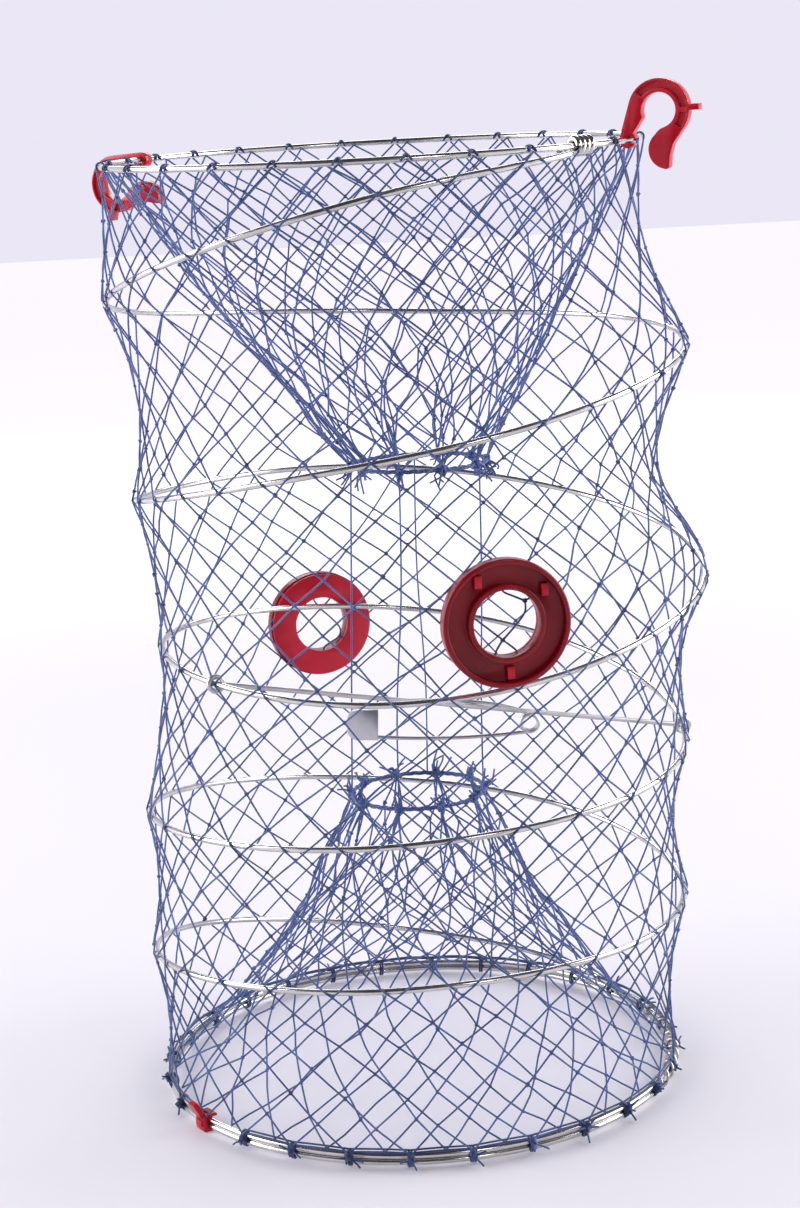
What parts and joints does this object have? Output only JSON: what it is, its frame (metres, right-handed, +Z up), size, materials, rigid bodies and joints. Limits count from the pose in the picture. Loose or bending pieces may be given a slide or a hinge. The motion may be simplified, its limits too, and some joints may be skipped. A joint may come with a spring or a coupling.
{
  "type": "folding crab trap",
  "caption": "Folding spring-wire crab and fish trap with knotted netting, inward funnels at both ends, red port rings, snap hooks, a bait bar and a bait pin.",
  "frame": {"origin": "centre of the bottom ring on the floor", "axes": "+Z up along the trap, -Y towards the front port ring, +X to the right"},
  "size_m": [0.3508, 0.3482, 0.5692],
  "materials": {
    "spring_wire": "bright zinc-plated spring steel",
    "ring_wire": "bright zinc-plated spring steel",
    "lash_wire": "bright plated wire",
    "net_twine": "blue knotted twine",
    "hitch_twine": "navy twine, tightly knotted",
    "throat_twine": "blue gathered twine",
    "port_plastic": "deep red moulded plastic",
    "hook_plastic": "red moulded plastic",
    "bait_wire": "plated wire",
    "pin_steel": "bright nickel-plated"
  },
  "bodies": {
    "base": {"bottom_ring_lower": "ring_wire", "bottom_ring_upper": "ring_wire", "bottom_wire_wrap": "lash_wire", "bottom_ring_lashing": "hitch_twine", "ring_clip_lower": "hook_plastic", "net_wall": "net_twine", "lower_funnel_net": "net_twine"},
    "top": {"top_ring": "ring_wire", "top_wire_wrap": "ring_wire", "top_ring_hitches": "hitch_twine", "upper_funnel_net": "net_twine"},
    "turn_1": {"spring_turn_1": "spring_wire"},
    "turn_2": {"spring_turn_2": "spring_wire"},
    "turn_3": {"spring_turn_3": "spring_wire"},
    "turn_4": {"spring_turn_4": "spring_wire"},
    "turn_5": {"spring_turn_5": "spring_wire"},
    "throat_upper": {"upper_throat_cord": "throat_twine", "funnel_tie_1": "throat_twine", "funnel_tie_2": "throat_twine", "funnel_tie_3": "throat_twine", "funnel_tie_4": "throat_twine"},
    "throat_lower": {"lower_throat_cord": "throat_twine"},
    "port_front": {"port_front_outer": "port_plastic", "port_front_inner": "port_plastic"},
    "port_back": {"port_back_outer": "port_plastic", "port_back_inner": "port_plastic"},
    "bait": {"bait_bar": "bait_wire", "bait_bar_eye_left": "bait_wire", "bait_bar_eye_right": "bait_wire"},
    "bait_pin": {"bait_pin_frame": "pin_steel", "bait_pin_clasp": "pin_steel"},
    "bait_needle": {"bait_pin_needle": "pin_steel"},
    "hook_right": {"latch_hook_right": "hook_plastic"},
    "hook_left": {"latch_hook_left": "hook_plastic"}
  },
  "joints": [
    {"name": "fold", "type": "slide", "parent": "base", "child": "top", "axis": [0, 0, 1], "range_m": [-0.44, 0], "stiffness_N_per_m": 45, "springref_m": 0.16, "deforming": ["net_wall", "lower_funnel_net", "upper_funnel_net"]},
    {"name": "turn_1_travel", "type": "slide", "parent": "base", "child": "turn_1", "axis": [0, 0, 1], "range_m": [-0.377, 0], "deforming": ["spring_turn_1"]},
    {"name": "turn_2_travel", "type": "slide", "parent": "base", "child": "turn_2", "axis": [0, 0, 1], "range_m": [-0.2424, 0], "deforming": ["spring_turn_2"]},
    {"name": "turn_3_travel", "type": "slide", "parent": "base", "child": "turn_3", "axis": [0, 0, 1], "range_m": [-0.2008, 0], "deforming": ["spring_turn_3"]},
    {"name": "turn_4_travel", "type": "slide", "parent": "base", "child": "turn_4", "axis": [0, 0, 1], "range_m": [-0.1266, 0], "deforming": ["spring_turn_4"]},
    {"name": "turn_5_travel", "type": "slide", "parent": "base", "child": "turn_5", "axis": [0, 0, 1], "range_m": [-0.0516, 0], "deforming": ["spring_turn_5"]},
    {"name": "throat_upper_travel", "type": "slide", "parent": "base", "child": "throat_upper", "axis": [0, 0, 1], "range_m": [-0.2969, 0], "deforming": ["funnel_tie_1", "funnel_tie_2", "funnel_tie_3", "funnel_tie_4"]},
    {"name": "throat_lower_travel", "type": "slide", "parent": "base", "child": "throat_lower", "axis": [0, 0, 1], "range_m": [-0.1383, 0]},
    {"name": "port_front_tilt", "type": "hinge", "parent": "turn_2", "child": "port_front", "pos_m": [0.05167, -0.16428, 0.3003], "axis": [-0.9848, -0.1736, 0], "range_deg": [0, 88.5]},
    {"name": "port_back_tilt", "type": "hinge", "parent": "turn_3", "child": "port_back", "pos_m": [-0.04991, 0.15107, 0.242], "axis": [-0.9472, -0.3206, 0], "range_deg": [0, 88.5]},
    {"name": "bait_bar_tilt", "type": "hinge", "parent": "turn_3", "child": "bait", "pos_m": [0.03086, -0.04957, 0.2305], "axis": [0.3527, -0.9357, 0], "range_deg": [0, 10.53]},
    {"name": "bait_pin_swing", "type": "hinge", "parent": "bait", "child": "bait_pin", "pos_m": [0.03501, -0.048, 0.22951], "axis": [0.9135, 0.3443, -0.2168], "range_deg": [-25, 25]},
    {"name": "bait_needle_open", "type": "hinge", "parent": "bait_pin", "child": "bait_needle", "pos_m": [0.07, -0.0457, 0.22048], "axis": [0, 1, 0], "range_deg": [0, 30], "stiffness_Nm_per_rad": 0.02, "springref_deg": -8.59},
    {"name": "hook_right_swing", "type": "hinge", "parent": "top", "child": "hook_right", "pos_m": [0.13557, -0.05861, 0.53788], "axis": [-0.3905, -0.9199, -0.0356], "range_deg": [-40, 95]},
    {"name": "hook_left_swing", "type": "hinge", "parent": "top", "child": "hook_left", "pos_m": [-0.13542, 0.06949, 0.54154], "axis": [0.463, 0.8857, 0.0346], "range_deg": [-5, 150]}
  ],
  "couplings": [
    {"joint": "turn_1_travel", "follows": "fold", "ratio": 0.8545},
    {"joint": "turn_2_travel", "follows": "fold", "ratio": 0.54866},
    {"joint": "turn_3_travel", "follows": "fold", "ratio": 0.45412},
    {"joint": "turn_4_travel", "follows": "fold", "ratio": 0.28545},
    {"joint": "turn_5_travel", "follows": "fold", "ratio": 0.11492},
    {"joint": "throat_upper_travel", "follows": "fold", "ratio": 0.67248},
    {"joint": "throat_lower_travel", "follows": "fold", "ratio": 0.31196},
    {"joint": "port_front_tilt", "follows": "fold", "rad_per_m": -3.4907},
    {"joint": "port_back_tilt", "follows": "fold", "rad_per_m": -3.4907},
    {"joint": "bait_bar_tilt", "follows": "fold", "rad_per_m": -0.40573}
  ]
}
